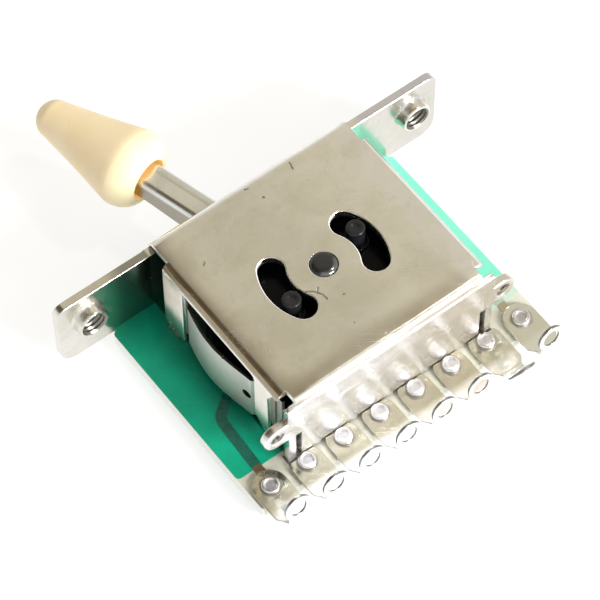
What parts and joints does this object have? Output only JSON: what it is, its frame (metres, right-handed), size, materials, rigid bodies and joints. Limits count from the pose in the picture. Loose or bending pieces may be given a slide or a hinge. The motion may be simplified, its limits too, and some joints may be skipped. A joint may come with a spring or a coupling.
{
  "type": "lever selector switch",
  "caption": "Lever switch in a folded steel case: a tapered cream cap on a channel lever swings a rotor between stops over a circuit board that carries a row of solder lugs",
  "frame": {"origin": "on the mounting plate's front face, midway between its two screw holes, at the level of the circuit board's top face", "axes": "+X along the mounting plate; +Y from the plate's front face, which the lever leaves towards -Y, back to the solder lugs; +Z from the circuit board up to the cover"},
  "size_m": [0.0482, 0.0546, 0.0132],
  "materials": {
    "nickel_plate": "satin nickel plating on folded steel sheet",
    "board": "green solder mask on a glass-fibre board, bare beige along the lugs",
    "lever_steel": "plain plated, lightly scratched",
    "cap_plastic": "satin cream, slightly translucent",
    "rotor_plastic": "satin black moulding",
    "spring_steel": "satin",
    "contact_bronze": "plain",
    "tinned_lug": "bright tin plating",
    "rivet_metal": "satin"
  },
  "bodies": {
    "case": {"housing": "nickel_plate", "circuit_board": "board", "detent_spring_left": "spring_steel", "detent_spring_right": "spring_steel", "lug_1": "tinned_lug", "lug_2": "tinned_lug", "lug_3": "tinned_lug", "lug_4": "tinned_lug", "lug_5": "tinned_lug", "lug_6": "tinned_lug", "lug_7": "tinned_lug", "lug_8": "tinned_lug", "rivet_1": "rivet_metal", "rivet_2": "rivet_metal", "rivet_3": "rivet_metal", "rivet_4": "rivet_metal", "rivet_5": "rivet_metal", "rivet_6": "rivet_metal", "rivet_7": "rivet_metal", "rivet_8": "rivet_metal"},
    "selector": {"rotor": "rotor_plastic", "lever": "lever_steel", "lever_cap": "cap_plastic", "wiper_left": "contact_bronze", "wiper_right": "contact_bronze"}
  },
  "joints": [
    {"name": "selector_hinge", "type": "hinge", "parent": "case", "child": "selector", "pos_m": [0, 0.01312, 0.005], "axis": [0, 0, 1], "range_deg": [-46.5, 15.5]}
  ]
}
